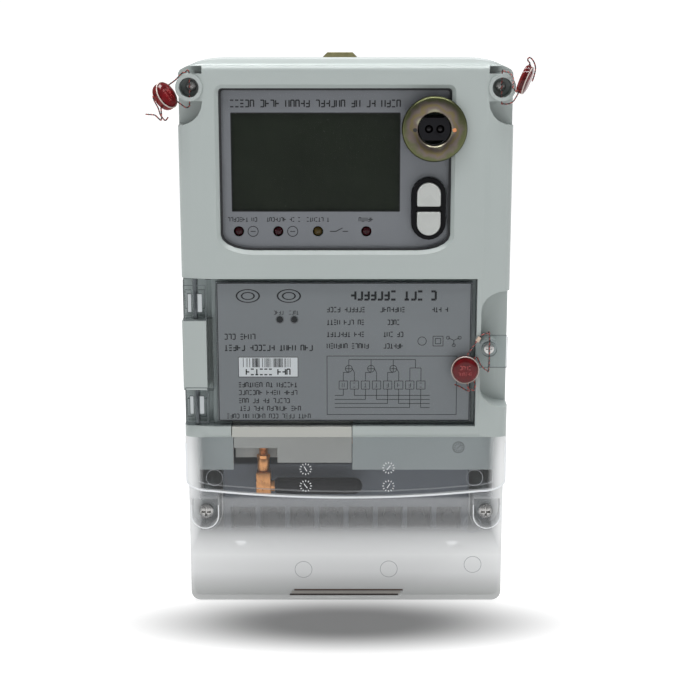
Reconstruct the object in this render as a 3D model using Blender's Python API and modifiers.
"""Three-phase electronic electricity meter for wall mounting.

The back lies in the plane y = 0, the front faces -Y, +X is to the right as one faces the meter
and +Z is up. The origin is in the middle of the back. Sizes are in metres.
"""

from math import cos, pi, radians, sin

import bmesh
import bpy
from mathutils import Matrix, Vector

# ---------------------------------------------------------------- driving sizes
CASE_WIDTH = 0.170
BODY_HEIGHT = 0.194  # metering body, down to the terminal cover
TERMINAL_HEIGHT = 0.094  # terminal chamber under the body
BODY_DEPTH = 0.079  # wall to the front face
BASE_DEPTH = 0.030  # wall to the parting line
WALL = 0.0025  # case and partition walls
GAP = 0.0003  # between pieces that touch
PLAY = 0.0005  # between pieces that slide or drop in
MARGIN = 0.01  # how far a cutter runs past what it cuts
NEAR = 0.00001  # points closer than this are one point
SKIM = 0.0001  # keeps two faces from falling in one plane
EASE = {"small": 0.0006, "block": 0.0008, "large": 0.001}  # chamfer on a moulding's edges, by its size

# body form
TOP_CORNER = (0.020, 0.0055)  # width and drop of the top corners
EDGE_RADIUS = 0.005  # rounded top front edge
SIDE_EASE = (0.015, 0.002)  # width and depth of the soft slope beside the front face
SIDE_RADIUS = 0.005
BOTTOM_RADIUS = 0.002

# shell bosses, their pockets and screws
BOSS_INSET = 0.0066  # boss axis in from the side
BOSS_DROP = 0.012  # boss axis below the top
BOSS_RADIUS = 0.0068
BOSS_BORE = 0.0050
BOSS_REACH = 0.0131  # pocket width in from the side
BOSS_DEPTH = 0.013  # bore and pocket depth
POCKET_OVER = 0.0038  # height of the pocket above a boss
POCKET_UNDER = 0.0125  # height of the pocket below a boss
SHELL_SCREW = 0.0015
SHELL_HEAD = (0.0027, 0.0022)  # radius and height

# display window
WINDOW_LEFT = 0.021  # window edge in from the left side
WINDOW_DROP = 0.0124  # window edge below the top
WINDOW_SIZE = (0.1175, 0.0822)
WINDOW_CORNERS = ((0.017, 0.0080), (0.0018, 0.0018))  # lower and upper corner radii
WINDOW_LAP = 0.0025  # lens and fascia behind the shell
LENS_THICK = 0.0015
FASCIA_THICK = 0.0008
SCREEN_LEFT = 0.006  # screen edge in from the window's left edge
SCREEN_DROP = 0.0125
SCREEN_SIZE = (0.0855, 0.0498)
SCREEN_LAP = 0.0025
LED_PLACES = (0.0092, 0.0294, 0.0498, 0.0746)  # from the window's left edge
LED_RISE = 0.0095  # above the window's bottom edge
LED_RADIUS = 0.0024

# optical port, measured from the window's right edge and top
PORT_INSET = 0.0089
PORT_DROP = 0.0200
RING_RADIUS = 0.01645
RING_BORE = 0.0082
RING_THICK = 0.0037
RING_HOLE = 0.0011
RING_HOLE_REACH = 0.0099
PORT_RADIUS = 0.00785
PORT_FLAT = 0.0056
PORT_PROUD = 0.0025
EYE_RADIUS = 0.0018
EYE_APART = 0.0057

# push buttons, measured from the window's right edge and bottom
BEZEL_SIZE = (0.0172, 0.0316)
BEZEL_INSET = 0.0112  # bezel middle
BEZEL_RISE = 0.0215
BEZEL_PROUD = 0.0020  # in front of the lens
BUTTON_SIZE = (0.0120, 0.0120)
BUTTON_SPLIT = 0.0028
BUTTON_PROUD = 0.0014  # in front of the bezel
BUTTON_FLANGE = (0.0008, 0.0012)  # width and thickness of the edge that keeps a button in
BUTTON_TRAVEL = 0.0012

# nameplate door
DOOR_RAIL = 0.0062  # body edge to the door recess
MID_RAIL = 0.0145  # window to the door recess
DOOR_RECESS = 0.007
DOOR_INSET = 0.0172  # recess edge in from the right side
DOOR_PLATE = 0.002
DOOR_RIM = 0.0018
DOOR_SET_BACK = 0.0005  # door face behind the shell face
NAMEPLATE_THICK = 0.001
HINGE_INSET = 0.007  # hinge axis in from the left side
HINGE_BACK = 0.005  # hinge axis behind the shell face
HINGE_POCKET = 0.013  # depth
HINGE_WIDTH = 0.0152  # pocket width in from the left side
KNUCKLE_HALF = (0.0060, 0.0040)  # half width and half depth
KNUCKLE_HEIGHTS = (0.0191, 0.0213)  # lower, upper
KNUCKLE_SLOT = (0.0098, 0.0030)  # height and depth
PIN_RADIUS = 0.0012
PIN_GRIP = 0.006  # pin length held by the post

# door clasp and the recess beside it
CLASP_HEIGHT = 0.0171
CLASP_DROP = 0.0302  # clasp top below the door's top
CLASP_THICK = 0.0041
CLASP_SCREW_INSET = 0.0104  # from the right side
CLASP_SCREW_RISE = 0.0099  # above the clasp's bottom
CLASP_COUNTERBORE = (0.0040, 0.0030)  # radius and depth
DOOR_SCREW = (0.0012, 0.0083)  # radius and length
DOOR_HEAD = (0.0026, 0.0012)
CLASP_HOLE_BACK = 0.0009  # seal wire hole behind the door face
SIDE_RECESS_INSET = 0.0150
SIDE_RECESS_DEPTH = 0.017
SIDE_RECESS_OVER = 0.0235  # above the clasp
SIDE_RECESS_UNDER = 0.0214
SIDE_RECESS_CORNER = (0.013, 0.010)

# communication module and aerial
MODULE_LEFT = 0.025
MODULE_WIDTH = 0.0632
MODULE_BACK = 0.042  # from the wall
MODULE_TOP_DROP = 0.0067  # below the door recess's top
SKIRT_HEIGHT = 0.0215
SKIRT_STEP = 0.013  # behind the shell face
MODULE_SKIRT = 0.0177
MODULE_NOTCH = (0.0232, 0.0082, 0.010)  # width, height, depth
AERIAL_INSET = 0.0155  # socket axis from the module's left side
AERIAL_STEP = 0.018  # socket axis behind the shell face
SOCKET_PROFILE = ((0.0024, 0.0045), (0.0036, 0.0020), (0.0034, 0.0070))  # radius, length
SWIVEL_SIZE = (0.0081, 0.0076, 0.0131)
SWIVEL_STUB = (0.0030, 0.0060)  # radius, reach from the socket axis
ROD_RADIUS = 0.00455
ROD_LENGTH = 0.0472

# terminal cover
COVER_WALL = 0.002
COVER_STEP = 0.008  # behind the shell face
COVER_BLOCK_STEP = 0.005  # the deeper upper part
COVER_TUCK = 0.001  # lower part inside the case width, each side
COVER_ARCH = (0.0343, 0.0037, 0.006)  # middle drop, rise to the corner, corner height
COVER_CORNER = 0.013
COVER_SCREW_INSET = 0.0093
COVER_SCREW_DROP = 0.0457  # below the body
COVER_POCKET_RADIUS = 0.0070
COVER_POCKET_DEPTH = 0.009
COVER_POCKET_TOP = 0.0095  # above the screw
COVER_SCREW = (0.0015, 0.017)
COVER_HEAD = (0.0039, 0.0028)
KNOCKOUT_SIZE = (0.063, 0.0048)
KNOCKOUT_RISE = 0.0014
KNOCKOUT_DEPTH = 0.0008

# terminal block and clamps
TERMINAL_COUNT = 8
TERMINAL_PITCH = 0.0162
CHAMBER_WIDTH = 0.0136
BLOCK_EDGE = 0.004  # outside the end chambers
BLOCK_DEPTH = 0.050  # from the wall
BLOCK_DROP = 0.023  # top, below the body
BLOCK_HEIGHT = 0.055
CHAMBER_BACK = 0.022  # from the wall
CHAMBER_HEIGHT = 0.030
CLAMP_SIZE = (0.0157, 0.0157)  # depth and height
CLAMP_BORE = 0.004
CLAMP_SCREW = (0.0035, 0.006)

# rear base
SCREW_POST_RADIUS = 0.0050
BOARD_POST_RADIUS = 0.003
POST_HOLE_PLAY = 0.0003
FIXING_HOLE = 0.0032
FIXING_INSET = 0.023
FIXING_RISE = 0.0085
BASE_CORNER = 0.005

# hanger
HANGER_MIDDLE = -0.0033
HANGER_WIDTH = 0.0198
HANGER_LENGTH = 0.0463
HANGER_THICK = 0.0015
HANGER_PROUD = 0.0026  # above the body top
HANGER_HOLE = 0.0033
HANGER_HOLE_DROP = 0.0076
HANGER_CHAMFER = 0.003
HANGER_LIP = 0.0012  # wall that holds the hanger in its slot
HANGER_GRIP = 0.005  # how far each lip covers the hanger

# boards and what sits on them
BOARD_THICK = 0.0016
DISPLAY_BOARD_STEP = 0.0154  # front of the display board, behind the shell face
METERING_BOARD_DEPTH = 0.038
METERING_BOARD_INSET = 0.006
PART_OFFSET = 0.01  # from the middle of the meter to the transformer and to the relay
PAD_THICK = 0.0012
TRANSFORMER_SIZE = (0.034, 0.028, 0.027)
RELAY_SIZE = (0.036, 0.030, 0.030)
SENSOR_COUNT = 3
SENSOR_RADII = (0.0050, 0.0093)
SENSOR_PITCH = 0.045
SENSOR_THICK = 0.010
SENSOR_DEPTH = 0.024  # front of a sensor, from the wall

# wire seals
SEAL_RADIUS = 0.0072
SEAL_THICK = 0.0036
ROTOR_RADIUS = 0.0064
ROTOR_PROUD = 0.0010
ROTOR_SEAT = 0.0012
WIRE_RADIUS = 0.0004
WIRE_STEP = 0.0020
WIRE_HOLE = 0.00065
WIRE_HOLE_BACK = 0.003  # seal wire hole behind the shell face
CHANNEL_RADIUS = 0.00075
LEAD = 0.0012  # straight wire outside each end of a channel
SLEEVE_SIZE = (0.0010, 0.0027)  # radius and length
SLEEVE_SHARE = 0.62  # place of the sleeve along the wire from the clasp to the seal

# how each seal lies: places from the middle of the wire hole it closes, in millimetres
SEAL_LAY = {
    "left": {
        "centre": (-12.0, -3.5, -4.3),
        "facing": (0.75, -0.45, 0.48),
        "along": (0.36, 0.89, 0.29),
        "lanes": (-3.4, 3.4),
        "over": [(-2.0, -0.3, 7.4), (-3.6, -0.3, 6.8), (-6.9, 0.6, 3.6), (-9.6, 2.6, 1.7)],
        "under": [(-0.2, -0.4, -9.3), (-1.8, -0.6, -10.0), (-4.6, 0.2, -8.3), (-7.0, 1.9, -6.6)],
        "tails": (
            [
                (-16.4, -10.6, -6.0),
                (-14.9, -8.6, -9.6),
                (-14.0, -7.0, -13.2),
                (-12.9, -6.4, -14.9),
                (-11.7, -6.2, -16.0),
                (-10.2, -6.2, -14.4),
            ],
            [
                (-13.1, -9.8, -13.4),
                (-13.5, -8.9, -15.7),
                (-14.9, -8.6, -14.7),
                (-16.4, -8.6, -13.3),
                (-17.9, -8.4, -13.0),
                (-21.2, -8.2, -12.8),
            ],
        ),
    },
    "right": {
        "centre": (10.6, -6.5, 4.1),
        "facing": (0.90, -0.24, -0.36),
        "along": (-0.40, -0.21, -0.89),
        "lanes": (3.0, -3.0),
        "over": [(1.2, -1.2, 7.8), (3.4, -3.4, 7.3), (5.0, -5.9, 4.6), (4.6, -9.4, 0.6)],
        "under": [(0.5, -0.3, -8.0), (2.4, -1.6, -8.2), (5.2, -3.6, -7.0)],
        "tails": (
            [
                (11.6, -8.2, 13.9),
                (12.6, -8.9, 15.0),
                (14.4, -9.3, 13.2),
                (15.4, -9.6, 10.2),
                (15.0, -9.6, 6.8),
                (14.0, -9.6, 3.4),
            ],
            [(13.9, -1.8, 11.3)],
        ),
    },
    "middle": {
        "centre": (-12.7, -3.5, -8.5),
        "facing": (0, -1, 0),
        "along": (0, 0, 1),
        "lanes": (1.5, 5.0),
        "over": [
            (-1.3, -1.0, 10.0),
            (-3.0, -2.2, 10.2),
            (-5.2, -3.0, 8.5),
            (-7.7, -3.3, 5.0),
            (-10.2, -3.1, 1.2),
        ],
        "under": [(-1.2, -1.6, -9.4), (-3.2, -2.8, -7.9), (-5.0, -3.1, -5.4), (-6.3, -3.0, -2.6)],
        "tails": (
            [
                (-10.7, -3.0, -18.6),
                (-10.2, -3.0, -20.1),
                (-12.0, -3.0, -19.7),
                (-14.5, -3.0, -18.2),
                (-18.0, -3.0, -16.6),
            ],
            [(-7.3, -4.2, -17.0), (-7.9, -4.8, -19.2), (-9.6, -4.8, -19.0), (-11.8, -4.8, -17.8)],
        ),
    },
}

# ---------------------------------------------------------------- places worked out from the sizes
BODY_TOP = (BODY_HEIGHT + TERMINAL_HEIGHT) / 2
BODY_BOTTOM = BODY_TOP - BODY_HEIGHT
CASE_BOTTOM = BODY_BOTTOM - TERMINAL_HEIGHT
HALF_WIDTH = CASE_WIDTH / 2
SHELL_BACK = -BASE_DEPTH - GAP
BOSS_X = HALF_WIDTH - BOSS_INSET
BOSS_Z = BODY_TOP - BOSS_DROP
BOSS_FLOOR = -BODY_DEPTH + BOSS_DEPTH
WINDOW_X = (-HALF_WIDTH + WINDOW_LEFT, -HALF_WIDTH + WINDOW_LEFT + WINDOW_SIZE[0])
WINDOW_Z = (BODY_TOP - WINDOW_DROP - WINDOW_SIZE[1], BODY_TOP - WINDOW_DROP)
LENS_FRONT = -BODY_DEPTH + WALL + GAP
FASCIA_FRONT = LENS_FRONT + LENS_THICK + GAP
FASCIA_BACK = FASCIA_FRONT + FASCIA_THICK
SCREEN_X = (WINDOW_X[0] + SCREEN_LEFT, WINDOW_X[0] + SCREEN_LEFT + SCREEN_SIZE[0])
SCREEN_Z = (WINDOW_Z[1] - SCREEN_DROP - SCREEN_SIZE[1], WINDOW_Z[1] - SCREEN_DROP)
PORT = (WINDOW_X[1] - PORT_INSET, WINDOW_Z[1] - PORT_DROP)
BEZEL = (WINDOW_X[1] - BEZEL_INSET, WINDOW_Z[0] + BEZEL_RISE)
BEZEL_FRONT = LENS_FRONT - BEZEL_PROUD
BOARD_FRONT = -BODY_DEPTH + DISPLAY_BOARD_STEP
DOOR_Z = (BODY_BOTTOM + DOOR_RAIL, WINDOW_Z[0] - MID_RAIL)
DOOR_RIGHT = HALF_WIDTH - DOOR_INSET
DOOR_FRONT = -BODY_DEPTH + DOOR_SET_BACK
DOOR_FLOOR = -BODY_DEPTH + DOOR_RECESS
HINGE = (-HALF_WIDTH + HINGE_INSET, -BODY_DEPTH + HINGE_BACK)
HINGE_RIGHT = -HALF_WIDTH + HINGE_WIDTH
CLASP_Z = (DOOR_Z[1] - CLASP_DROP - CLASP_HEIGHT, DOOR_Z[1] - CLASP_DROP)
CLASP_SCREW = (HALF_WIDTH - CLASP_SCREW_INSET, CLASP_Z[0] + CLASP_SCREW_RISE)
CLASP_BACK = DOOR_FRONT + CLASP_THICK
MODULE_X = (-HALF_WIDTH + MODULE_LEFT, -HALF_WIDTH + MODULE_LEFT + MODULE_WIDTH)
SKIRT_FRONT = -BODY_DEPTH + SKIRT_STEP
SKIRT_BOTTOM = BODY_BOTTOM - SKIRT_HEIGHT
COVER_INNER = HALF_WIDTH - COVER_TUCK - COVER_WALL
SKIRT_HALF = COVER_INNER - PLAY
AERIAL = (MODULE_X[0] + AERIAL_INSET, -BODY_DEPTH + AERIAL_STEP)
COVER_SCREW_X = HALF_WIDTH - COVER_SCREW_INSET
COVER_SCREW_Z = BODY_BOTTOM - COVER_SCREW_DROP
COVER_FRONT = -BODY_DEPTH + COVER_STEP
COVER_BLOCK_FRONT = -BODY_DEPTH + COVER_BLOCK_STEP
COVER_POCKET_FLOOR = COVER_FRONT + COVER_POCKET_DEPTH
BLOCK_TOP = BODY_BOTTOM - BLOCK_DROP
BLOCK_BOTTOM = BLOCK_TOP - BLOCK_HEIGHT
BLOCK_HALF = TERMINAL_PITCH * (TERMINAL_COUNT - 1) / 2 + CHAMBER_WIDTH / 2 + BLOCK_EDGE
FLOOR = -WALL - GAP  # what stands on the base's inner floor starts here

# ---------------------------------------------------------------- scene and helpers
for item in list(bpy.data.objects):
    bpy.data.objects.remove(item, do_unlink=True)

METER = bpy.data.collections.new("electricity_meter")
CUTTERS = bpy.data.collections.new("cutters")
for group in (METER, CUTTERS):
    bpy.context.scene.collection.children.link(group)

AXES = {
    "X": Matrix(((0, 0, 1, 0), (1, 0, 0, 0), (0, 1, 0, 0), (0, 0, 0, 1))),
    "Y": Matrix(((1, 0, 0, 0), (0, 0, 1, 0), (0, 1, 0, 0), (0, 0, 0, 1))),
    "Z": Matrix.Identity(4),
}


def finish(name, colour, roughness, metallic=0.0, alpha=1.0):
    """Principled material."""
    material = bpy.data.materials.new(name)
    material.use_nodes = True
    shader = material.node_tree.nodes["Principled BSDF"]
    shader.inputs["Base Color"].default_value = (*colour, 1)
    shader.inputs["Roughness"].default_value = roughness
    shader.inputs["Metallic"].default_value = metallic
    shader.inputs["Alpha"].default_value = alpha
    material.diffuse_color = (*colour, alpha)
    return material


def new_object(name, mesh, material=None):
    """A sub-part in its material, or a hidden cutter when it has none."""
    thing = bpy.data.objects.new(name, mesh)
    if material:
        mesh.materials.append(material)
        METER.objects.link(thing)
        mesh.shade_smooth()
        mesh.set_sharp_from_angle(angle=radians(30))
    else:
        CUTTERS.objects.link(thing)
        thing.hide_render = True
        thing.display_type = "WIRE"
    return thing


def from_bmesh(name, shape, material):
    if shape.calc_volume(signed=True) < 0:
        bmesh.ops.reverse_faces(shape, faces=shape.faces)
    mesh = bpy.data.meshes.new(name)
    shape.to_mesh(mesh)
    shape.free()
    return new_object(name, mesh, material)


def box(name, x, y, z, material=None, bevel=0.0):
    """Box between two values on each axis, with its edges rounded by bevel."""
    shape = bmesh.new()
    middle = Vector([sum(limits) / 2 for limits in (x, y, z)])
    sides = [limits[1] - limits[0] for limits in (x, y, z)]
    bmesh.ops.create_cube(shape, size=1, matrix=Matrix.Translation(middle) @ Matrix.Diagonal((*sides, 1)))
    thing = from_bmesh(name, shape, material)
    if bevel:
        rounding = thing.modifiers.new("rounded_edges", "BEVEL")
        rounding.width = bevel
        rounding.segments = 2
    return thing


def cylinder(name, axis, centre, radius, span, material=None, sides=32):
    """Round bar along an axis; centre is its place on the other two axes, in X, Y, Z order."""
    shape = bmesh.new()
    place = AXES[axis] @ Matrix.Translation((*centre, sum(span) / 2))
    bmesh.ops.create_cone(
        shape,
        cap_ends=True,
        segments=sides,
        radius1=radius,
        radius2=radius,
        depth=span[1] - span[0],
        matrix=place,
    )
    bmesh.ops.recalc_face_normals(shape, faces=shape.faces)
    return from_bmesh(name, shape, material)


def prism(name, outline, axis, span, material=None):
    """Flat outline on the other two axes, in X, Y, Z order, carried along axis."""
    drawing = bpy.data.curves.new(name, "CURVE")
    drawing.dimensions = "2D"
    drawing.fill_mode = "BOTH"
    drawing.extrude = (span[1] - span[0]) / 2
    corners = [
        b
        for a, b in zip([outline[-1], *outline], outline)
        if max(abs(a[0] - b[0]), abs(a[1] - b[1])) > NEAR
    ]
    line = drawing.splines.new("POLY")
    line.points.add(len(corners) - 1)
    line.use_cyclic_u = True
    for point, place in zip(line.points, corners):
        point.co = (*place, 0, 1)
    sketch = bpy.data.objects.new(name, drawing)
    CUTTERS.objects.link(sketch)
    evaluated = sketch.evaluated_get(bpy.context.evaluated_depsgraph_get())
    shape = bmesh.new()
    shape.from_mesh(bpy.data.meshes.new_from_object(evaluated))
    bpy.data.objects.remove(sketch)
    bmesh.ops.remove_doubles(shape, verts=shape.verts, dist=1e-6)
    shape.transform(AXES[axis] @ Matrix.Translation((0, 0, sum(span) / 2)))
    bmesh.ops.recalc_face_normals(shape, faces=shape.faces)
    return from_bmesh(name, shape, material)


def turned(name, axis, centre, start, stretches, material=None, sides=24, dome=0.0):
    """Turned bar along an axis from start: stretches of (radius, signed length), then a round end."""
    along = start
    points = [(0.0, along)]
    for radius, length in stretches:
        points += [(radius, along), (radius, along + length)]
        along += length
    if dome:
        radius = stretches[-1][0]
        steps = 5
        points += [
            (radius * cos(pi / 2 * i / steps), along + dome * sin(pi / 2 * i / steps))
            for i in range(1, steps)
        ]
        along += dome
    points.append((0.0, along))
    if points[-1][1] > points[0][1]:
        points.reverse()
    mesh = bpy.data.meshes.new(name)
    mesh.from_pydata([(r, 0, a) for r, a in points], [(i, i + 1) for i in range(len(points) - 1)], [])
    profile = new_object(name + "_profile", mesh)
    spin = profile.modifiers.new("turn", "SCREW")
    spin.steps = spin.render_steps = sides
    spin.use_merge_vertices = True
    spin.merge_threshold = 1e-6
    evaluated = profile.evaluated_get(bpy.context.evaluated_depsgraph_get())
    shape = bmesh.new()
    shape.from_mesh(bpy.data.meshes.new_from_object(evaluated))
    bpy.data.objects.remove(profile)
    shape.transform(AXES[axis] @ Matrix.Translation((*centre, 0)))
    bmesh.ops.recalc_face_normals(shape, faces=shape.faces)
    return from_bmesh(name, shape, material)


def shaped(thing, tool, operation):
    step = thing.modifiers.new(tool.name, "BOOLEAN")
    step.operation = operation
    step.object = tool


def cut(thing, *tools):
    for tool in tools:
        shaped(thing, tool, "DIFFERENCE")


def join(thing, *tools):
    for tool in tools:
        shaped(thing, tool, "UNION")


def trim(thing, *tools):
    for tool in tools:
        shaped(thing, tool, "INTERSECT")


def grown(limits, by):
    return limits[0] - by, limits[1] + by


def around(middle, half):
    return middle - half, middle + half


def quarter(centre, radii, start, steps=5):
    """Quarter of an ellipse that starts at a multiple of a right angle and runs anticlockwise."""
    turns = [(start + i / steps) * pi / 2 for i in range(steps + 1)]
    return [(centre[0] + radii[0] * cos(t), centre[1] + radii[1] * sin(t)) for t in turns]


def rounded(across, up, lower=(0, 0), upper=(0, 0)):
    """Rectangle whose lower and upper corners are quarter ellipses."""
    centres = (
        ((across[1] - upper[0], up[1] - upper[1]), upper, 0),
        ((across[0] + upper[0], up[1] - upper[1]), upper, 1),
        ((across[0] + lower[0], up[0] + lower[1]), lower, 2),
        ((across[1] - lower[0], up[0] + lower[1]), lower, 3),
    )
    outline = []
    for centre, radii, start in centres:
        outline += quarter(centre, radii, start) if radii[0] else [centre]
    return outline


def stadium(middle, size):
    """Upright outline with fully round ends."""
    half = size[0] / 2
    return rounded(around(middle[0], half), around(middle[1], size[1] / 2), (half, half), (half, half))


def hang(axis_name, place, *things):
    """Empty on a joint's axis, with the pieces that move about it."""
    pivot = bpy.data.objects.new(axis_name, None)
    pivot.location = place
    METER.objects.link(pivot)
    bpy.context.view_layer.update()
    for thing in things:
        thing.parent = pivot
        thing.matrix_parent_inverse = pivot.matrix_world.inverted()


GREY_PLASTIC = finish("grey_plastic", (0.36, 0.40, 0.39), 0.5)
BASE_PLASTIC = finish("base_plastic", (0.33, 0.36, 0.36), 0.55)
BEIGE_PLASTIC = finish("beige_plastic", (0.38, 0.38, 0.33), 0.5)
CLEAR_PLASTIC = finish("clear_plastic", (0.85, 0.87, 0.88), 0.15, alpha=0.35)
PRINT_GREY = finish("print_grey", (0.20, 0.21, 0.22), 0.45)
SCREEN_GLASS = finish("screen_glass", (0.025, 0.03, 0.022), 0.2)
BOARD_GREEN = finish("board_green", (0.02, 0.12, 0.05), 0.5)
BLACK_PLASTIC = finish("black_plastic", (0.015, 0.015, 0.017), 0.4)
BUTTON_WHITE = finish("button_white", (0.70, 0.70, 0.68), 0.35)
SILICONE = finish("silicone", (0.3, 0.3, 0.3), 0.7)
YELLOW_ZINC = finish("yellow_zinc", (0.55, 0.52, 0.28), 0.3, metallic=1.0)
STEEL = finish("steel", (0.55, 0.55, 0.54), 0.3, metallic=1.0)
BRASS = finish("brass", (0.62, 0.30, 0.12), 0.3, metallic=1.0)
BLOCK_PLASTIC = finish("block_plastic", (0.19, 0.21, 0.23), 0.5)
COPPER = finish("copper", (0.7, 0.33, 0.2), 0.35, metallic=1.0)
COIL_TAPE = finish("coil_tape", (0.5, 0.32, 0.03), 0.6)
RELAY_BLACK = finish("relay_black", (0.03, 0.03, 0.035), 0.4)
RED_LENS = finish("red_lens", (0.16, 0.01, 0.01), 0.15)
AMBER_LENS = finish("amber_lens", (0.22, 0.12, 0.01), 0.15)
SEAL_CLEAR = finish("seal_clear", (0.75, 0.72, 0.70), 0.2, alpha=0.5)
SEAL_RED = finish("seal_red", (0.35, 0.005, 0.008), 0.15)
SEAL_WIRE = finish("seal_wire", (0.14, 0.04, 0.03), 0.35, metallic=0.6)


# ---------------------------------------------------------------- front shell
def case_form(name, inset, back, material=None):
    """The body's outer form, or the hollow inside it when inset is a wall."""
    front = -BODY_DEPTH + inset
    half = HALF_WIDTH - inset
    bottom, top = BODY_BOTTOM + inset, BODY_TOP - inset
    far = front - MARGIN
    form = prism(name, rounded((-half, half), (bottom, top), upper=TOP_CORNER), "Y", (far, back), material)
    shoulder = front + SIDE_EASE[1]
    flat = half - SIDE_EASE[0]
    corner = (SIDE_RADIUS, SIDE_RADIUS)
    plan = [
        (-half - MARGIN, back + MARGIN),
        (-half - MARGIN, shoulder + SIDE_RADIUS),
        *quarter((-half + SIDE_RADIUS, shoulder + SIDE_RADIUS), corner, 2),
        (-flat, front),
        (flat, front),
        *quarter((half - SIDE_RADIUS, shoulder + SIDE_RADIUS), corner, 3),
        (half + MARGIN, shoulder + SIDE_RADIUS),
        (half + MARGIN, back + MARGIN),
    ]
    trim(form, prism(name + "_plan", plan, "Z", (bottom - MARGIN, top + MARGIN)))
    low, high, edge = bottom + BOTTOM_RADIUS, top - EDGE_RADIUS, EDGE_RADIUS
    side = [(far - MARGIN, high), (far - MARGIN, low)]
    side += quarter((front + BOTTOM_RADIUS, low), (BOTTOM_RADIUS, BOTTOM_RADIUS), 2)
    side += [(front + BOTTOM_RADIUS, bottom - MARGIN), (back + MARGIN, bottom - MARGIN)]
    side += [(back + MARGIN, top + MARGIN), (front + edge, top + MARGIN)]
    side += quarter((front + edge, high), (edge, edge), 1)
    trim(form, prism(name + "_side", side, "X", (-half - MARGIN, half + MARGIN)))
    return form


def pockets(grow):
    """What is hollowed out of the body's front, each grown by a wall for the partitions behind."""
    name = "partition" if grow else "pocket"
    far = -BODY_DEPTH - MARGIN
    outer = HALF_WIDTH + MARGIN
    tools = [
        box(
            f"{name}_door",
            (HINGE_RIGHT - WALL, DOOR_RIGHT + grow),
            (far, DOOR_FLOOR + grow),
            grown(DOOR_Z, grow),
        ),
        box(
            f"{name}_hinge",
            (-outer, HINGE_RIGHT + grow),
            (far, -BODY_DEPTH + HINGE_POCKET + grow),
            grown(DOOR_Z, grow),
        ),
        prism(
            f"{name}_side",
            rounded(
                (HALF_WIDTH - SIDE_RECESS_INSET - grow, outer + SIDE_RECESS_INSET),
                (CLASP_Z[0] - SIDE_RECESS_UNDER - grow, CLASP_Z[1] + SIDE_RECESS_OVER + grow),
                SIDE_RECESS_CORNER,
                SIDE_RECESS_CORNER,
            ),
            "Y",
            (far, -BODY_DEPTH + SIDE_RECESS_DEPTH + grow),
        ),
    ]
    for side, word in ((-1, "left"), (1, "right")):
        inner = HALF_WIDTH - BOSS_REACH - grow
        over = (BOSS_Z + BOSS_RADIUS - grow, BOSS_Z + BOSS_RADIUS + POCKET_OVER + grow)
        under = (BOSS_Z - BOSS_RADIUS - POCKET_UNDER - grow, BOSS_Z - BOSS_RADIUS + grow)
        reach = BOSS_REACH + grow
        bowl = [(outer, under[1]), (inner, under[1])]
        bowl += quarter((HALF_WIDTH, under[1]), (reach, under[1] - under[0]), 2)[1:]
        bowl += [(outer, under[0])]
        floor = BOSS_FLOOR + grow
        beside = around(BOSS_Z, BOSS_RADIUS + WALL)
        tools += [
            box(f"{name}_beside_{word}", sorted((side * BOSS_X, side * outer)), (far, floor), beside),
            box(f"{name}_over_{word}", sorted((side * inner, side * outer)), (far, floor), over),
            prism(f"{name}_under_{word}", [(side * x, z) for x, z in bowl], "Y", (far, floor)),
        ]
    return tools


def boss_bores(grow):
    name = "boss_partition" if grow else "boss_bore"
    span = (-BODY_DEPTH - MARGIN, BOSS_FLOOR + grow)
    for side, word in ((-1, "left"), (1, "right")):
        yield cylinder(f"{name}_{word}", "Y", (side * BOSS_X, BOSS_Z), BOSS_BORE + grow, span)


front_shell = case_form("front_shell", 0, SHELL_BACK, GREY_PLASTIC)
hollow = case_form("shell_hollow", WALL, SHELL_BACK + MARGIN)
cut(hollow, *pockets(WALL), *boss_bores(WALL))
cut(front_shell, hollow, *pockets(0))
for side, word in ((-1, "left"), (1, "right")):
    boss = cylinder(
        f"boss_{word}",
        "Y",
        (side * BOSS_X, BOSS_Z),
        BOSS_RADIUS,
        (-BODY_DEPTH - GAP, BOSS_FLOOR + WALL / 2),
    )
    join(front_shell, boss)
cut(front_shell, *boss_bores(0))
KNUCKLE_Z = (
    (DOOR_Z[0] + GAP, DOOR_Z[0] + GAP + KNUCKLE_HEIGHTS[0]),
    (DOOR_Z[1] - GAP - KNUCKLE_HEIGHTS[1], DOOR_Z[1] - GAP),
)
hinge_post = box(
    "hinge_post",
    (-HALF_WIDTH + GAP, HINGE[0] + KNUCKLE_HALF[0] - GAP),
    (-BODY_DEPTH + PLAY, -BODY_DEPTH + HINGE_POCKET + WALL / 2),
    (KNUCKLE_Z[0][1] + GAP, KNUCKLE_Z[1][0] - GAP),
)
clasp_boss = cylinder(
    "clasp_boss",
    "Y",
    CLASP_SCREW,
    SCREW_POST_RADIUS,
    (CLASP_BACK + PLAY, -BODY_DEPTH + SIDE_RECESS_DEPTH + WALL / 2),
)
skirt = box(
    "skirt",
    around(0, SKIRT_HALF),
    (SKIRT_FRONT, SHELL_BACK),
    (SKIRT_BOTTOM, BODY_BOTTOM + WALL / 2),
)
join(front_shell, hinge_post, clasp_boss, skirt)
clasp_bore = DOOR_SCREW[0] + 2 * GAP
window = rounded(WINDOW_X, WINDOW_Z, *WINDOW_CORNERS)
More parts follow.
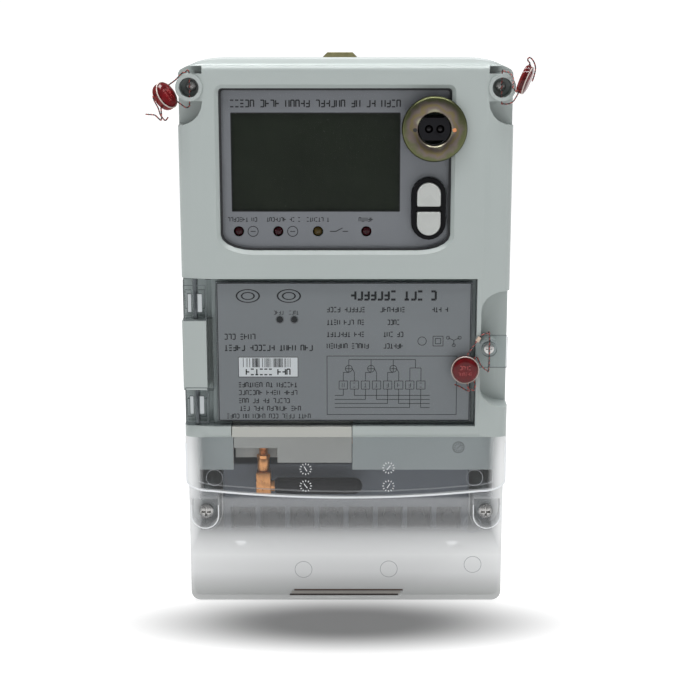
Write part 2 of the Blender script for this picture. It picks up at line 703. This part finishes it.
cut(
    front_shell,
    prism("window_opening", window, "Y", (-BODY_DEPTH - MARGIN, -BODY_DEPTH + WALL + MARGIN / 2)),
    cylinder(
        "hinge_bore",
        "Z",
        HINGE,
        PIN_RADIUS + GAP,
        (DOOR_Z[0] - WALL, DOOR_Z[1] + WALL + GAP),
        sides=16,
    ),
    cylinder(
        "clasp_bore",
        "Y",
        CLASP_SCREW,
        clasp_bore,
        (-BODY_DEPTH, -BODY_DEPTH + SIDE_RECESS_DEPTH + WALL + GAP),
        sides=16,
    ),
    box(
        "clasp_notch",
        (DOOR_RIGHT - WALL, HALF_WIDTH - SIDE_RECESS_INSET + GAP),
        (-BODY_DEPTH - MARGIN, CLASP_BACK + PLAY),
        grown(CLASP_Z, PLAY),
    ),
    box(
        "skirt_hollow",
        around(0, SKIRT_HALF - WALL),
        (SKIRT_FRONT + WALL, SHELL_BACK + MARGIN),
        (SKIRT_BOTTOM - MARGIN, BODY_BOTTOM),
    ),
    box(
        "module_bay",
        grown(MODULE_X, GAP),
        (-BODY_DEPTH - MARGIN, -MODULE_BACK + GAP),
        (SKIRT_BOTTOM - MARGIN, DOOR_Z[1] - MODULE_TOP_DROP + GAP),
    ),
)
for side, word in ((-1, "left"), (1, "right")):
    cut(
        front_shell,
        cylinder(
            f"shell_screw_bore_{word}",
            "Y",
            (side * BOSS_X, BOSS_Z),
            SHELL_SCREW + POST_HOLE_PLAY,
            (BOSS_FLOOR - GAP, BOSS_FLOOR + WALL + GAP),
            sides=16,
        ),
        cylinder(
            f"seal_hole_{word}",
            "Z",
            (side * BOSS_X, -BODY_DEPTH + WIRE_HOLE_BACK),
            WIRE_HOLE,
            grown(around(BOSS_Z, BOSS_RADIUS), GAP),
            sides=12,
        ),
    )

# ---------------------------------------------------------------- rear base
rear_base = prism(
    "rear_base",
    rounded((-HALF_WIDTH, HALF_WIDTH), (CASE_BOTTOM, BODY_TOP), (BASE_CORNER, BASE_CORNER), TOP_CORNER),
    "Y",
    (-BASE_DEPTH, 0),
    BASE_PLASTIC,
)
cut(
    rear_base,
    prism(
        "base_hollow",
        rounded(
            (-HALF_WIDTH + WALL, HALF_WIDTH - WALL),
            (CASE_BOTTOM + WALL, BODY_TOP - WALL),
            (BASE_CORNER - WALL, BASE_CORNER - WALL),
            TOP_CORNER,
        ),
        "Y",
        (-BASE_DEPTH - MARGIN, -WALL),
    ),
)
POST_FOOT = -WALL / 2
SHELL_POST_TOP = BOSS_FLOOR + WALL + GAP
COVER_POST_TOP = COVER_POCKET_FLOOR + COVER_WALL + GAP
DISPLAY_POST_TOP = BOARD_FRONT + BOARD_THICK + GAP
METERING_POST_TOP = -METERING_BOARD_DEPTH + BOARD_THICK + GAP
SENSOR_Z = (BODY_BOTTOM + BLOCK_TOP) / 2
display_board_x = grown((WINDOW_X[0], WINDOW_X[1]), WINDOW_LAP)
display_board_z = (WINDOW_Z[0] - WINDOW_LAP, BODY_TOP - WALL - WINDOW_LAP)
metering_board_x = around(0, HALF_WIDTH - METERING_BOARD_INSET)
metering_board_z = (BODY_BOTTOM + 2 * WALL, DOOR_Z[1] - GAP)
for side, word in ((-1, "left"), (1, "right")):
    join(
        rear_base,
        cylinder(
            f"shell_post_{word}",
            "Y",
            (side * BOSS_X, BOSS_Z),
            BOSS_INSET - WALL - GAP,
            (SHELL_POST_TOP, POST_FOOT),
            sides=20,
        ),
        cylinder(
            f"cover_post_{word}",
            "Y",
            (side * COVER_SCREW_X, COVER_SCREW_Z),
            SCREW_POST_RADIUS,
            (COVER_POST_TOP, POST_FOOT),
            sides=20,
        ),
    )
    cut(
        rear_base,
        cylinder(
            f"shell_post_bore_{word}",
            "Y",
            (side * BOSS_X, BOSS_Z),
            SHELL_SCREW + POST_HOLE_PLAY,
            (SHELL_POST_TOP - MARGIN, -BASE_DEPTH),
            sides=16,
        ),
        cylinder(
            f"cover_post_bore_{word}",
            "Y",
            (side * COVER_SCREW_X, COVER_SCREW_Z),
            COVER_SCREW[0] + POST_HOLE_PLAY,
            (COVER_POST_TOP - MARGIN, -BASE_DEPTH),
            sides=16,
        ),
        cylinder(
            f"fixing_hole_{word}",
            "Y",
            (side * (HALF_WIDTH - FIXING_INSET), CASE_BOTTOM + FIXING_RISE),
            FIXING_HOLE,
            (-WALL - MARGIN, MARGIN),
            sides=24,
        ),
    )


def board_posts(name, across, up, top):
    """Four posts that carry a board near its corners."""
    inset = 2 * BOARD_POST_RADIUS
    for row, z in enumerate((up[0] + inset, up[1] - inset)):
        for column, x in enumerate((across[0] + inset, across[1] - inset)):
            post = f"{name}_{row}{column}"
            yield cylinder(post, "Y", (x, z), BOARD_POST_RADIUS, (top, POST_FOOT), sides=12)


join(rear_base, *board_posts("display_post", display_board_x, display_board_z, DISPLAY_POST_TOP))
join(rear_base, *board_posts("metering_post", metering_board_x, metering_board_z, METERING_POST_TOP))
sensor_places = [(i - (SENSOR_COUNT - 1) / 2) * SENSOR_PITCH for i in range(SENSOR_COUNT)]
for number, x in enumerate(sensor_places, 1):
    peg = (-SENSOR_DEPTH - WALL, POST_FOOT)
    join(rear_base, cylinder(f"peg_{number}", "Y", (x, SENSOR_Z), SENSOR_RADII[0] - GAP, peg, sides=24))

# slot for the hanger, in a thicker patch of the back wall
hanger_x = around(HANGER_MIDDLE, HANGER_WIDTH / 2)
hanger_top = BODY_TOP + HANGER_PROUD
hanger_bottom = hanger_top - HANGER_LENGTH
slot_y = (-HANGER_LIP - HANGER_THICK - 2 * GAP, -HANGER_LIP)
join(
    rear_base,
    box(
        "hanger_patch",
        grown(hanger_x, WALL + GAP),
        (slot_y[0] - WALL, -WALL / 2),
        (hanger_bottom - WALL - GAP, BODY_TOP - WALL / 2),
    ),
)
cut(
    rear_base,
    box("hanger_slot", grown(hanger_x, GAP), slot_y, (hanger_bottom - GAP, BODY_TOP + MARGIN)),
    box(
        "hanger_window",
        grown(hanger_x, -HANGER_GRIP),
        (-2 * HANGER_LIP, MARGIN),
        (hanger_bottom, BODY_TOP + MARGIN),
    ),
)

hanger = prism(
    "hanger_plate",
    [
        (hanger_x[0], hanger_bottom),
        (hanger_x[1], hanger_bottom),
        (hanger_x[1], hanger_top - HANGER_CHAMFER),
        (hanger_x[1] - HANGER_CHAMFER, hanger_top),
        (hanger_x[0] + HANGER_CHAMFER, hanger_top),
        (hanger_x[0], hanger_top - HANGER_CHAMFER),
    ],
    "Y",
    (slot_y[0] + GAP, slot_y[1] - GAP),
    YELLOW_ZINC,
)
cut(
    hanger,
    cylinder(
        "hanger_eye",
        "Y",
        (HANGER_MIDDLE, hanger_top - HANGER_HOLE_DROP),
        HANGER_HOLE,
        (-MARGIN, MARGIN),
    ),
)
hang("hanger_axis", (HANGER_MIDDLE, sum(slot_y) / 2, BODY_TOP), hanger)

# ---------------------------------------------------------------- screws of the shell
for side, word in ((-1, "left"), (1, "right")):
    head_front = BOSS_FLOOR - GAP - SHELL_HEAD[1]
    grip = -head_front - SHELL_HEAD[1] - BASE_DEPTH - 2 * PLAY
    turned(
        f"shell_screw_{word}",
        "Y",
        (side * BOSS_X, BOSS_Z),
        head_front,
        (SHELL_HEAD, (SHELL_SCREW, grip)),
        STEEL,
        sides=20,
    )

# ---------------------------------------------------------------- window lens, fascia and screen
lap = rounded(grown(WINDOW_X, WINDOW_LAP), grown(WINDOW_Z, WINDOW_LAP), *WINDOW_CORNERS)
window_lens = prism("window_lens", lap, "Y", (LENS_FRONT, LENS_FRONT + LENS_THICK), CLEAR_PLASTIC)
fascia = prism("fascia_plate", lap, "Y", (FASCIA_FRONT, FASCIA_BACK), PRINT_GREY)
through = (LENS_FRONT - MARGIN / 2, FASCIA_BACK + MARGIN / 2)
port_hole = cylinder("port_hole", "Y", PORT, PORT_RADIUS + GAP, through)
bezel_hole = prism("bezel_hole", stadium(BEZEL, [s + 2 * GAP for s in BEZEL_SIZE]), "Y", through)
cut(window_lens, port_hole, bezel_hole)
cut(fascia, port_hole, bezel_hole, box("screen_hole", SCREEN_X, through, SCREEN_Z))
LED_NAMES = ("led_active", "led_reactive", "led_alarm", "led_relay")
for name, place in zip(LED_NAMES, LED_PLACES):
    centre = (WINDOW_X[0] + place, WINDOW_Z[0] + LED_RISE)
    cut(fascia, cylinder(f"{name}_hole", "Y", centre, LED_RADIUS + GAP, through, sides=20))
    turned(
        name,
        "Y",
        centre,
        BOARD_FRONT - GAP,
        ((LED_RADIUS, FASCIA_FRONT - BOARD_FRONT + 2 * GAP + LED_RADIUS / 2),),
        AMBER_LENS if name == "led_alarm" else RED_LENS,
        sides=16,
        dome=-LED_RADIUS / 2,
    )
box(
    "display_panel",
    grown(SCREEN_X, SCREEN_LAP),
    (FASCIA_BACK + GAP, BOARD_FRONT - GAP),
    grown(SCREEN_Z, SCREEN_LAP),
    SCREEN_GLASS,
)

# ---------------------------------------------------------------- optical port
ring_front = -BODY_DEPTH - GAP - RING_THICK
ring = cylinder("port_ring", "Y", PORT, RING_RADIUS, (ring_front, -BODY_DEPTH - GAP), YELLOW_ZINC, sides=48)
ring_through = (ring_front - MARGIN, -BODY_DEPTH + MARGIN / 2)
cut(ring, cylinder("ring_bore", "Y", PORT, RING_BORE, ring_through))
for side, word in ((-1, "left"), (1, "right")):
    place = (PORT[0] + side * RING_HOLE_REACH, PORT[1])
    cut(ring, cylinder(f"ring_hole_{word}", "Y", place, RING_HOLE, ring_through, sides=12))
port_y = (-BODY_DEPTH - PORT_PROUD, BOARD_FRONT - GAP)
port_insert = cylinder("port_insert", "Y", PORT, PORT_RADIUS, port_y, BLACK_PLASTIC)
trim(
    port_insert,
    box("port_flats", around(PORT[0], PORT_RADIUS + GAP), grown(port_y, MARGIN), around(PORT[1], PORT_FLAT)),
)
for side, word in ((-1, "left"), (1, "right")):
    place = (PORT[0] + side * EYE_APART / 2, PORT[1])
    eye_back = port_y[1] - WALL
    cut(
        port_insert,
        cylinder(f"eye_bore_{word}", "Y", place, EYE_RADIUS + GAP, (port_y[0] - MARGIN, eye_back), sides=20),
    )
    turned(
        f"port_eye_{word}",
        "Y",
        place,
        eye_back - GAP,
        ((EYE_RADIUS, port_y[0] - eye_back + EYE_RADIUS),),
        BLACK_PLASTIC,
        sides=16,
        dome=-EYE_RADIUS / 2,
    )

# ---------------------------------------------------------------- button surround, buttons and pad
bezel_back = FASCIA_BACK
bezel = prism("button_bezel", stadium(BEZEL, BEZEL_SIZE), "Y", (BEZEL_FRONT, bezel_back), BLACK_PLASTIC)
pad_y = (BOARD_FRONT - GAP - PAD_THICK, BOARD_FRONT - GAP)
round_end = (BUTTON_SIZE[0] / 2, BUTTON_SIZE[0] / 2)
button_half = BUTTON_SIZE[0] / 2
for side, name in ((1, "button_up"), (-1, "button_down")):
    near = BEZEL[1] + side * BUTTON_SPLIT / 2
    rise = sorted((near, near + side * BUTTON_SIZE[1]))
    across = around(BEZEL[0], button_half)
    ends = ((0, 0), round_end) if side > 0 else (round_end, (0, 0))
    button = prism(
        name,
        rounded(across, rise, *ends),
        "Y",
        (BEZEL_FRONT - BUTTON_PROUD, pad_y[0] - GAP - BUTTON_TRAVEL),
        BUTTON_WHITE,
    )
    flange_y = (bezel_back + GAP, bezel_back + GAP + BUTTON_FLANGE[1])
    edge = BUTTON_FLANGE[0] / 2
    flange_outline = rounded(grown(across, edge), grown(rise, edge), *ends)
    join(button, prism(f"{name}_flange", flange_outline, "Y", flange_y))
    hole = rounded(grown(across, GAP), grown(rise, GAP), *ends)
    cut(bezel, prism(f"{name}_hole", hole, "Y", (BEZEL_FRONT - MARGIN, bezel_back + MARGIN)))
    hang(f"{name}_axis", (BEZEL[0], BEZEL_FRONT, sum(rise) / 2), button)
prism("button_pad", stadium(BEZEL, BEZEL_SIZE), "Y", pad_y, SILICONE)

# ---------------------------------------------------------------- boards, relay, transformer, sensors
box("display_board", display_board_x, (BOARD_FRONT, BOARD_FRONT + BOARD_THICK), display_board_z, BOARD_GREEN)
metering_y = (-METERING_BOARD_DEPTH, -METERING_BOARD_DEPTH + BOARD_THICK)
box("metering_board", metering_board_x, metering_y, metering_board_z, BOARD_GREEN)
part_floor = BODY_BOTTOM + TERMINAL_HEIGHT / 2
box(
    "power_transformer",
    (-PART_OFFSET - TRANSFORMER_SIZE[0], -PART_OFFSET),
    (FLOOR - TRANSFORMER_SIZE[1], FLOOR),
    (part_floor, part_floor + TRANSFORMER_SIZE[2]),
    COIL_TAPE,
    bevel=EASE["large"],
)
box(
    "disconnect_relay",
    (PART_OFFSET, PART_OFFSET + RELAY_SIZE[0]),
    (FLOOR - RELAY_SIZE[1], FLOOR),
    (part_floor, part_floor + RELAY_SIZE[2]),
    RELAY_BLACK,
    bevel=EASE["large"],
)
for number, x in enumerate(sensor_places, 1):
    ring_y = (-SENSOR_DEPTH, -SENSOR_DEPTH + SENSOR_THICK)
    sensor = cylinder(f"current_sensor_{number}", "Y", (x, SENSOR_Z), SENSOR_RADII[1], ring_y, COPPER)
    cut(sensor, cylinder(f"sensor_bore_{number}", "Y", (x, SENSOR_Z), SENSOR_RADII[0], grown(ring_y, MARGIN)))

# ---------------------------------------------------------------- nameplate door
door_x = (HINGE_RIGHT + 2 * GAP, DOOR_RIGHT - GAP - SKIM)
door_z = grown(DOOR_Z, -GAP)
rim_back = DOOR_FLOOR - GAP - SKIM
door = box("door", door_x, (DOOR_FRONT, rim_back), door_z, CLEAR_PLASTIC)
cut(
    door,
    box(
        "door_hollow",
        grown(door_x, -DOOR_RIM),
        (DOOR_FRONT + DOOR_PLATE, rim_back + MARGIN),
        grown(door_z, -DOOR_RIM),
    ),
)
knuckle_x = around(HINGE[0], KNUCKLE_HALF[0])
knuckle_y = around(HINGE[1], KNUCKLE_HALF[1])
for word, z in zip(("lower", "upper"), KNUCKLE_Z):
    knuckle = box(f"knuckle_{word}", knuckle_x, knuckle_y, z, bevel=EASE["small"])
    bridge = box(
        f"bridge_{word}",
        (knuckle_x[1] - WALL, door_x[0] + DOOR_RIM / 2),
        (DOOR_FRONT + GAP, rim_back),
        grown(z, -GAP),
    )
    join(door, knuckle, bridge)
    slot_z = around(sum(z) / 2, KNUCKLE_SLOT[0] / 2)
    slot_depth = (DOOR_FRONT - MARGIN, knuckle_y[0] + KNUCKLE_SLOT[1])
    web = PIN_RADIUS + 2 * GAP
    for end, name in ((-1, "outer"), (1, "inner")):
        slot_x = sorted((HINGE[0] + end * web, HINGE[0] + end * (KNUCKLE_HALF[0] - 2 * PLAY)))
        cut(door, box(f"slot_{word}_{name}", slot_x, slot_depth, slot_z))
clasp = box(
    "clasp",
    (DOOR_RIGHT - DOOR_RIM, HALF_WIDTH - 2 * PLAY),
    (DOOR_FRONT, CLASP_BACK),
    CLASP_Z,
    bevel=EASE["small"],
)
join(door, clasp)
cut(
    door,
    cylinder("door_pin_bore", "Z", HINGE, PIN_RADIUS + GAP, grown(door_z, MARGIN), sides=16),
    cylinder(
        "counterbore",
        "Y",
        CLASP_SCREW,
        CLASP_COUNTERBORE[0],
        (DOOR_FRONT - MARGIN, DOOR_FRONT + CLASP_COUNTERBORE[1]),
    ),
    cylinder("door_screw_bore", "Y", CLASP_SCREW, clasp_bore, (DOOR_FRONT, CLASP_BACK + MARGIN), sides=16),
    cylinder(
        "clasp_wire_hole",
        "Z",
        (CLASP_SCREW[0], DOOR_FRONT + CLASP_HOLE_BACK),
        WIRE_HOLE,
        grown(CLASP_Z, MARGIN),
        sides=12,
    ),
)
nameplate = box(
    "nameplate",
    grown(door_x, -DOOR_RIM - GAP),
    (DOOR_FRONT + DOOR_PLATE + GAP, DOOR_FRONT + DOOR_PLATE + GAP + NAMEPLATE_THICK),
    grown(door_z, -DOOR_RIM - GAP),
    PRINT_GREY,
)
head_seat = DOOR_FRONT + CLASP_COUNTERBORE[1] - GAP
door_screw = turned(
    "door_screw",
    "Y",
    CLASP_SCREW,
    head_seat - DOOR_HEAD[1],
    (DOOR_HEAD, DOOR_SCREW),
    STEEL,
    sides=16,
)
for word, z in (
    ("lower", (DOOR_Z[0] - WALL + GAP, KNUCKLE_Z[0][1] + PIN_GRIP)),
    ("upper", (KNUCKLE_Z[1][0] - PIN_GRIP, DOOR_Z[1] + WALL - GAP)),
):
    cylinder(f"hinge_pin_{word}", "Z", HINGE, PIN_RADIUS, z, STEEL, sides=16)

# ---------------------------------------------------------------- communication module and aerial
module_top = DOOR_Z[1] - MODULE_TOP_DROP
module_bottom = BODY_BOTTOM - MODULE_SKIRT
bay_front = DOOR_FLOOR + GAP + SKIM
rail_front = -BODY_DEPTH + GAP
rail_z = (BODY_BOTTOM + GAP, DOOR_Z[0] - GAP)
lower_back = (-MODULE_BACK + SKIRT_FRONT) / 2
module = prism(
    "comm_module",
    [
        (-MODULE_BACK, module_top),
        (bay_front, module_top),
        (bay_front, rail_z[1]),
        (rail_front, rail_z[1]),
        (rail_front, rail_z[0]),
        (SKIRT_FRONT, rail_z[0]),
        (SKIRT_FRONT, module_bottom),
        (lower_back, module_bottom),
        (lower_back, BODY_BOTTOM + WALL),
        (-MODULE_BACK, BODY_BOTTOM + WALL),
    ],
    "X",
    MODULE_X,
    BEIGE_PLASTIC,
)
notch_top = module_bottom + MODULE_NOTCH[1]
cut(
    module,
    box(
        "aerial_notch",
        (MODULE_X[0] - MARGIN, MODULE_X[0] + MODULE_NOTCH[0]),
        (SKIRT_FRONT - MARGIN, SKIRT_FRONT + MODULE_NOTCH[2]),
        (module_bottom - MARGIN, notch_top),
    ),
)
turned(
    "aerial_socket",
    "Z",
    AERIAL,
    notch_top - GAP,
    [(radius, -length) for radius, length in SOCKET_PROFILE],
    BRASS,
    sides=16,
)
swivel_top = notch_top - 2 * GAP - sum(length for _, length in SOCKET_PROFILE)
rod_z = swivel_top - SWIVEL_SIZE[2] + ROD_RADIUS
swivel = box(
    "aerial_swivel",
    around(AERIAL[0], SWIVEL_SIZE[0] / 2),
    around(AERIAL[1], SWIVEL_SIZE[1] / 2),
    (swivel_top - SWIVEL_SIZE[2], swivel_top),
    BRASS,
    bevel=EASE["large"],
)
stub_end = AERIAL[0] + SWIVEL_STUB[1]
stub = cylinder("swivel_stub", "X", (AERIAL[1], rod_z), SWIVEL_STUB[0], (AERIAL[0], stub_end), sides=16)
join(swivel, stub)
rod = turned(
    "aerial_rod",
    "X",
    (AERIAL[1], rod_z),
    stub_end + GAP,
    ((ROD_RADIUS, ROD_LENGTH - ROD_RADIUS),),
    BLACK_PLASTIC,
    sides=20,
    dome=ROD_RADIUS,
)
hang("aerial_axis", (*AERIAL, swivel_top), swivel, rod)


# ---------------------------------------------------------------- terminal cover
def cover_block_outline(half, drop):
    """Outline of the cover's deeper part: an arched lower edge with round corners, moved up by drop."""
    middle, rise, corner = COVER_ARCH
    bottom = BODY_BOTTOM - middle + drop
    flat = half - COVER_CORNER
    steps = 6
    arch = []
    for i in range(-steps, steps + 1):
        share = i / steps
        arch.append((flat * share, bottom + rise * share**2))
    left = quarter((-flat, bottom + rise + corner), (COVER_CORNER, corner), 2)[:-1]
    right = quarter((flat, bottom + rise + corner), (COVER_CORNER, corner), 3)[1:]
    top = BODY_BOTTOM + MARGIN
    return [(-half, top), *left, *arch, *right, (half, top)]


cover_top = BODY_BOTTOM - GAP
cover_back = -BASE_DEPTH - GAP
cover_outer = HALF_WIDTH - COVER_TUCK
cover = prism(
    "terminal_cover",
    rounded((-cover_outer, cover_outer), (CASE_BOTTOM, cover_top), (BASE_CORNER, BASE_CORNER)),
    "Y",
    (COVER_FRONT, cover_back),
    CLEAR_PLASTIC,
)
block_form = prism(
    "cover_block",
    cover_block_outline(HALF_WIDTH, 0),
    "Y",
    (COVER_BLOCK_FRONT, cover_back),
)
cover_lid = box(
    "cover_block_top",
    around(0, CASE_WIDTH),
    (COVER_BLOCK_FRONT - MARGIN, cover_back + MARGIN),
    (cover_top, cover_top + 3 * MARGIN),
)
cut(block_form, cover_lid)
join(cover, block_form)
cover_hollow = prism(
    "cover_hollow",
    rounded(
        (-COVER_INNER, COVER_INNER),
        (CASE_BOTTOM + COVER_WALL, cover_top + MARGIN),
        (BASE_CORNER - COVER_WALL, BASE_CORNER - COVER_WALL),
    ),
    "Y",
    (COVER_FRONT + COVER_WALL, cover_back + MARGIN),
)
block_hollow = prism(
    "block_hollow",
    cover_block_outline(COVER_INNER, COVER_WALL),
    "Y",
    (COVER_BLOCK_FRONT + COVER_WALL, cover_back + MARGIN),
)


def cover_pockets(grow):
    """Wells for the cover screws, each a round bottom with straight sides up to the step."""
    name = "cover_partition" if grow else "cover_pocket"
    for side, word in ((-1, "left"), (1, "right")):
        radius = COVER_POCKET_RADIUS + grow
        middle = side * COVER_SCREW_X
        outline = rounded(
            around(middle, radius),
            (COVER_SCREW_Z - radius, COVER_SCREW_Z + COVER_POCKET_TOP + grow),
            (radius, radius),
        )
        span = (COVER_BLOCK_FRONT - MARGIN, COVER_POCKET_FLOOR + grow)
        yield prism(f"{name}_{word}", outline, "Y", span)


wells = list(cover_pockets(COVER_WALL))
cut(cover_hollow, *wells)
cut(block_hollow, *wells)
cut(cover, cover_hollow, block_hollow, *cover_pockets(0))
knockout_z = (CASE_BOTTOM + KNOCKOUT_RISE, CASE_BOTTOM + KNOCKOUT_RISE + KNOCKOUT_SIZE[1])
knockout_half = KNOCKOUT_SIZE[0] / 2
slant = KNOCKOUT_SIZE[1] / 2
cut(
    cover,
    prism(
        "knockout_groove",
        [
            (-knockout_half, knockout_z[0]),
            (knockout_half - slant, knockout_z[0]),
            (knockout_half, knockout_z[1]),
            (-knockout_half + slant, knockout_z[1]),
        ],
        "Y",
        (COVER_FRONT - MARGIN, COVER_FRONT + KNOCKOUT_DEPTH),
    ),
)
cover_pieces = [cover]
for side, word in ((-1, "left"), (1, "right")):
    place = (side * COVER_SCREW_X, COVER_SCREW_Z)
    reach = COVER_SCREW[0] + POST_HOLE_PLAY
    bore_y = (COVER_POCKET_FLOOR - GAP, COVER_POST_TOP)
    cut(cover, cylinder(f"cover_bore_{word}", "Y", place, reach, bore_y, sides=16))
    screw_front = COVER_POCKET_FLOOR - GAP - COVER_HEAD[1]
    screw = turned(f"cover_screw_{word}", "Y", place, screw_front, (COVER_HEAD, COVER_SCREW), STEEL, sides=20)
    cover_pieces.append(screw)
hang("cover_axis", (0, cover_back, BODY_BOTTOM - TERMINAL_HEIGHT / 2), *cover_pieces)

# ---------------------------------------------------------------- terminal block and clamps
block = box(
    "terminal_block",
    around(0, BLOCK_HALF),
    (-BLOCK_DEPTH, FLOOR),
    (BLOCK_BOTTOM, BLOCK_TOP),
    BLOCK_PLASTIC,
    bevel=EASE["block"],
)
chamber_top = BLOCK_BOTTOM + CHAMBER_HEIGHT
clamp_y = (-CHAMBER_BACK - GAP - CLAMP_SIZE[0], -CHAMBER_BACK - GAP)
clamp_z = (chamber_top - GAP - CLAMP_SIZE[1], chamber_top - GAP)
for number in range(1, TERMINAL_COUNT + 1):
    x = (number - (TERMINAL_COUNT + 1) / 2) * TERMINAL_PITCH
    cut(
        block,
        box(
            f"chamber_{number}",
            around(x, CHAMBER_WIDTH / 2),
            (-BLOCK_DEPTH - MARGIN, -CHAMBER_BACK),
            (BLOCK_BOTTOM - MARGIN, chamber_top),
        ),
    )
    clamp = box(f"terminal_{number}", around(x, CHAMBER_WIDTH / 2 - GAP), clamp_y, clamp_z, BRASS)
    middle = (sum(clamp_y) / 2, sum(clamp_z) / 2)
    screw_y = (clamp_y[0] - CLAMP_SCREW[1], clamp_y[0] + WALL / 2)
    join(clamp, cylinder(f"clamp_screw_{number}", "Y", (x, middle[1]), CLAMP_SCREW[0], screw_y, sides=16))
    entry = (clamp_z[0] - MARGIN, clamp_z[1] - WALL)
    cut(clamp, cylinder(f"clamp_bore_{number}", "Z", (x, middle[0]), CLAMP_BORE, entry, sides=16))


# ---------------------------------------------------------------- wire seals
def smooth_route(points, step):
    """Points about step apart on the Catmull-Rom curve through the given points."""
    places = [Vector(p) for p in points]
    places = [2 * places[0] - places[1], *places, 2 * places[-1] - places[-2]]
    route = []
    for a, b, c, d in zip(places, places[1:], places[2:], places[3:]):
        count = max(1, round((c - b).length / step))
        for i in range(count):
            t = i / count
            route.append(
                0.5 * (2 * b + (c - a) * t + (2 * a - 5 * b + 4 * c - d) * t**2 + (3 * b - a - 3 * c + d) * t**3)
            )
    return [*route, places[-2]]


def millimetres(points):
    return [Vector(point) / 1000 for point in points]


def wire(name, points):
    """Seal wire: a round tube along a smooth route."""
    route = smooth_route(points, WIRE_STEP)
    curve = bpy.data.curves.new(name, "CURVE")
    curve.dimensions = "3D"
    curve.bevel_depth = WIRE_RADIUS
    curve.bevel_resolution = 2
    curve.use_fill_caps = True
    line = curve.splines.new("POLY")
    line.points.add(len(route) - 1)
    for point, place in zip(line.points, route):
        point.co = (*place, 1)
    curve.materials.append(SEAL_WIRE)
    thing = bpy.data.objects.new(name, curve)
    METER.objects.link(thing)
    return thing


def seal(name, anchor, half_hole, lay):
    """Round seal with its red rotor, closed on a wire that runs through a vertical hole.

    anchor is the middle of the hole and half_hole is half its height."""
    facing = Vector(lay["facing"]).normalized()
    along = Vector(lay["along"])
    along = (along - along.dot(facing) * facing).normalized()
    anchor = Vector(anchor)
    frame = Matrix((along.cross(facing), along, facing)).transposed().to_4x4()
    frame.translation = anchor + millimetres([lay["centre"]])[0]
    body = turned(name, "Z", (0, 0), -SEAL_THICK / 2, ((SEAL_RADIUS, SEAL_THICK),), SEAL_CLEAR, sides=32)
    seat_floor = SEAL_THICK / 2 - ROTOR_SEAT
    rotor = turned(
        f"{name}_rotor",
        "Z",
        (0, 0),
        seat_floor + GAP,
        ((ROTOR_RADIUS, ROTOR_SEAT - GAP + ROTOR_PROUD / 2),),
        SEAL_RED,
        sides=28,
        dome=ROTOR_PROUD / 2,
    )
    seat = cylinder(f"{name}_seat", "Z", (0, 0), ROTOR_RADIUS + GAP, (seat_floor, SEAL_THICK))
    lane_z = (seat_floor - SEAL_THICK / 2) / 2
    lanes = [lane.x for lane in millimetres([(lane, 0, 0) for lane in lay["lanes"]])]
    lane_reach = around(0, SEAL_RADIUS + MARGIN)
    channels = [
        cylinder(f"{name}_lane_{i}", "Y", (lane, lane_z), CHANNEL_RADIUS, lane_reach, sides=12)
        for i, lane in enumerate(lanes)
    ]
    for thing in (body, rotor, seat, *channels):
        thing.data.transform(frame)
    cut(body, seat, *channels)
    passes = []
    for lane in lanes:
        chord = (SEAL_RADIUS**2 - lane**2) ** 0.5
        stops = (-chord - LEAD, -chord + PLAY, chord - PLAY, chord + LEAD)
        passes.append([frame @ Vector((lane, stop, lane_z)) for stop in stops])
    over = [anchor + point for point in millimetres(lay["over"])]
    under = [anchor + point for point in millimetres(lay["under"])]
    tails = [[anchor + point for point in millimetres(tail)] for tail in lay["tails"]]
    hole = [anchor + Vector((0, 0, side * (half_hole + PLAY))) for side in (1, -1)]
    route = [*reversed(tails[0]), *passes[0], *reversed(over), *hole, *under, *reversed(passes[1]), *tails[1]]
    return body, rotor, wire(f"{name}_wire", route), over


for side, word in ((-1, "left"), (1, "right")):
    anchor = (side * BOSS_X, -BODY_DEPTH + WIRE_HOLE_BACK, BOSS_Z)
    seal(f"seal_{word}", anchor, BOSS_RADIUS, SEAL_LAY[word])

clasp_middle = (CLASP_SCREW[0], DOOR_FRONT + CLASP_HOLE_BACK, sum(CLASP_Z) / 2)
seal_body, seal_rotor, seal_wire, over = seal(
    "seal_middle",
    clasp_middle,
    CLASP_HEIGHT / 2,
    SEAL_LAY["middle"],
)
upper, lower = over[2:4]
run = (lower - upper).normalized()
sleeve_turn = run.to_track_quat("Z", "Y").to_matrix().to_4x4()
sleeve_place = Matrix.Translation(upper.lerp(lower, SLEEVE_SHARE / 2)) @ sleeve_turn
sleeve_reach = around(0, SLEEVE_SIZE[1] / 2)
sleeve = cylinder("crimp_sleeve", "Z", (0, 0), SLEEVE_SIZE[0], sleeve_reach, BEIGE_PLASTIC, sides=16)
sleeve_bore = cylinder("sleeve_bore", "Z", (0, 0), WIRE_HOLE, around(0, SLEEVE_SIZE[1]), sides=12)
for thing in (sleeve, sleeve_bore):
    thing.data.transform(sleeve_place)
cut(sleeve, sleeve_bore)
hang(
    "door_axis",
    (*HINGE, sum(DOOR_Z) / 2),
    door,
    nameplate,
    door_screw,
    seal_body,
    seal_rotor,
    seal_wire,
    sleeve,
)
